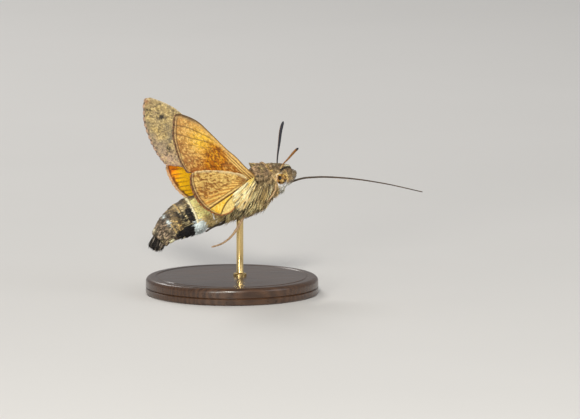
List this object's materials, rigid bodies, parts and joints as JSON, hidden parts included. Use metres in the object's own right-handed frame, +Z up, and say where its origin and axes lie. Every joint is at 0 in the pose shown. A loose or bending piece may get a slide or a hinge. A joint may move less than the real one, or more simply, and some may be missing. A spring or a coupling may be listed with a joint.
{
  "type": "hummingbird hawk moth model on a stand",
  "caption": "Life-size hummingbird hawk moth, hovering with raised wings and a stretched-out tongue, held by a rod on a round display base.",
  "frame": {"origin": "middle of the stand's underside", "axes": "+X from the tail to the head, +Y to the moth's left, +Z up; the moth's middle plane is y = 0"},
  "size_m": [0.0494, 0.03, 0.0333],
  "materials": {
    "head_fur": "short brown and cream fur",
    "thorax_fur": "olive-brown fur, golden and cream at the sides",
    "abdomen_scales": "olive-brown scales with black and white side patches",
    "tail_scales": "dark brush of long scales",
    "forewing": "scaled membrane, grey-brown above and orange-brown below",
    "hindwing": "scaled membrane, orange above and yellow-brown below",
    "eye": "glossy dark brown",
    "antenna": "finely ringed, dark brown",
    "proboscis": "finely ringed, dark brown",
    "leg": "pale tan scales",
    "base_wood": "dark stained, satin lacquer",
    "rod_brass": "brushed"
  },
  "bodies": {
    "root": {"head": "head_fur", "eye_left": "eye", "eye_right": "eye", "palp_left": "head_fur", "palp_right": "head_fur", "antenna_left": "antenna", "antenna_right": "antenna", "proboscis": "proboscis", "thorax": "thorax_fur", "abdomen": "abdomen_scales", "tail_fan": "tail_scales", "forewing_left": "forewing", "forewing_right": "forewing", "hindwing_left": "hindwing", "hindwing_right": "hindwing", "leg_front_left": "leg", "leg_front_right": "leg", "leg_middle_left": "leg", "leg_middle_right": "leg", "leg_rear_left": "leg", "leg_rear_right": "leg", "stand_base": "base_wood", "stand_rod": "rod_brass"}
  },
  "joints": []
}
